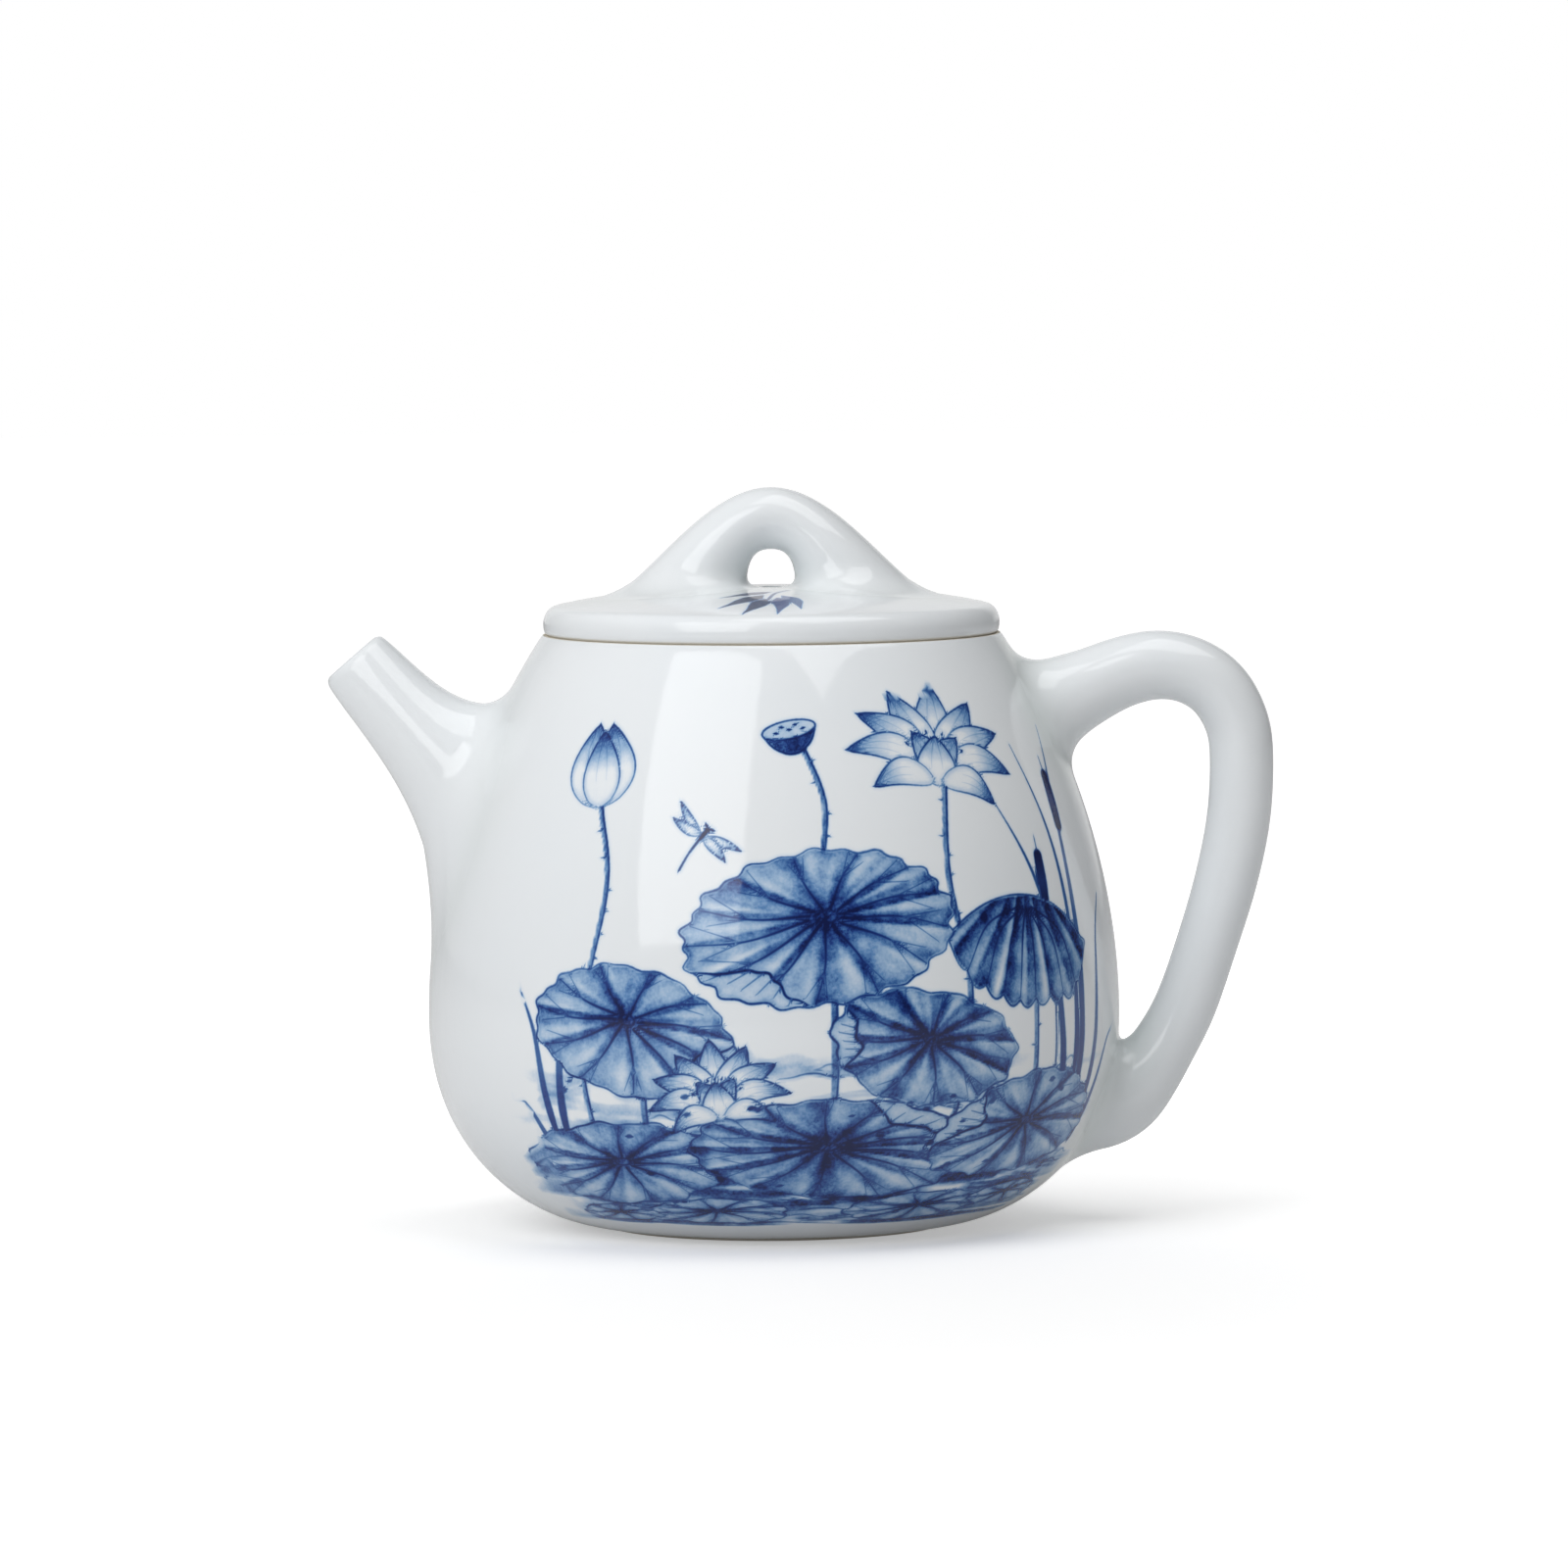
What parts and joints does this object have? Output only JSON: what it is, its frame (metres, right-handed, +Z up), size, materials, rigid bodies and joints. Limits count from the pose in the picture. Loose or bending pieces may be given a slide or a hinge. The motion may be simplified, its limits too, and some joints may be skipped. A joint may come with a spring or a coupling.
{
  "type": "porcelain teapot",
  "caption": "Small pear-shaped porcelain teapot with a tapered spout, an ear-shaped handle and a loose collared lid with a bridge knob.",
  "frame": {"origin": "centre of the footprint, on the surface that the foot ring stands on", "axes": "+Z up, +X along the plane of symmetry towards the handle, so the spout points along -X"},
  "size_m": [0.1206, 0.0882, 0.094],
  "materials": {
    "glaze": "polished",
    "biscuit": "matte"
  },
  "bodies": {
    "pot": {"pot_body": "glaze", "foot_ring": "biscuit", "spout": "glaze", "strainer": "glaze", "handle": "glaze"},
    "lid": {"lid_plate": "glaze", "lid_collar": "biscuit", "lid_bridge": "glaze"}
  },
  "joints": [
    {"name": "lid_lift", "type": "slide", "parent": "pot", "child": "lid", "axis": [0, 0, 1], "range_m": [0, 0.04]}
  ]
}
